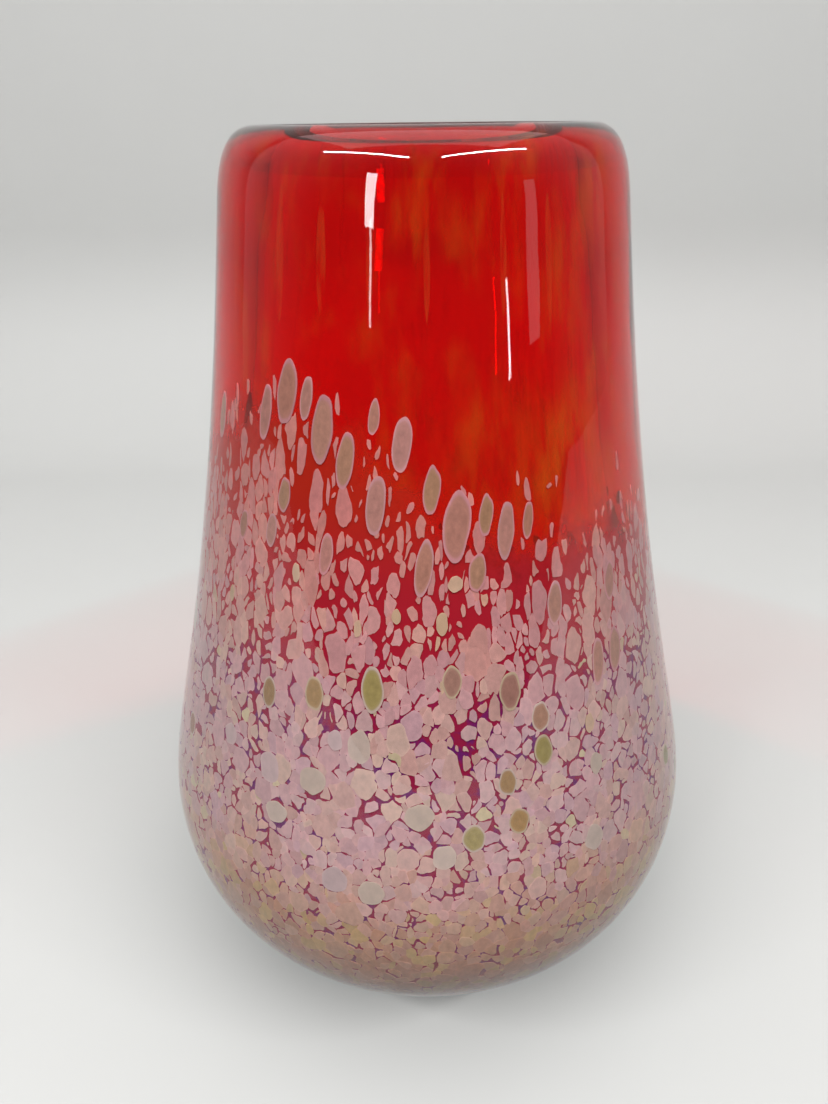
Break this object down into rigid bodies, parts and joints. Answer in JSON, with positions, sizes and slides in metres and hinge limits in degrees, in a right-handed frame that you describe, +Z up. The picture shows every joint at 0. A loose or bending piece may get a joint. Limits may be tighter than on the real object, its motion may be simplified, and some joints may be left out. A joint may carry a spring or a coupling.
{
  "type": "vase",
  "caption": "Hand blown art glass vase: pear-shaped body on a small foot ring, straight transparent red neck, rolled lip, and pale chips bedded in clear glass over the lower body",
  "frame": {"origin": "middle of the foot ring, on the plane that the vase stands on", "axes": "+Z runs up the axis of the vase to its mouth; the side seen from the front faces -Y; +X is to the right seen from the front"},
  "size_m": [0.116, 0.116, 0.18],
  "materials": {
    "clear_casing": "clear, fire polished, with a faint lilac and gold lustre",
    "orange_coat": "transparent orange-red, mottled",
    "orange_streaks": "translucent orange, drawn out upright",
    "loose_chips": "opaque pinkish grey",
    "lilac_ovals": "opaque lilac grey",
    "oval_cores": "opaque tan",
    "frit_bed": "opaque pale lilac to peach chips with crimson between them",
    "spot_halos": "opaque pale",
    "amber_spots": "opaque amber to olive",
    "pale_rounds": "opaque pale lilac",
    "cream_flecks": "opaque cream",
    "red_overlay": "transparent deep red",
    "inner_core": "clear"
  },
  "bodies": {
    "root": {"clear_casing": "clear_casing", "orange_coat": "orange_coat", "orange_streaks": "orange_streaks", "loose_chips": "loose_chips", "lilac_ovals": "lilac_ovals", "oval_cores": "oval_cores", "frit_bed": "frit_bed", "spot_halos": "spot_halos", "amber_spots": "amber_spots", "pale_rounds": "pale_rounds", "cream_flecks": "cream_flecks", "red_overlay": "red_overlay", "inner_core": "inner_core"}
  },
  "joints": []
}
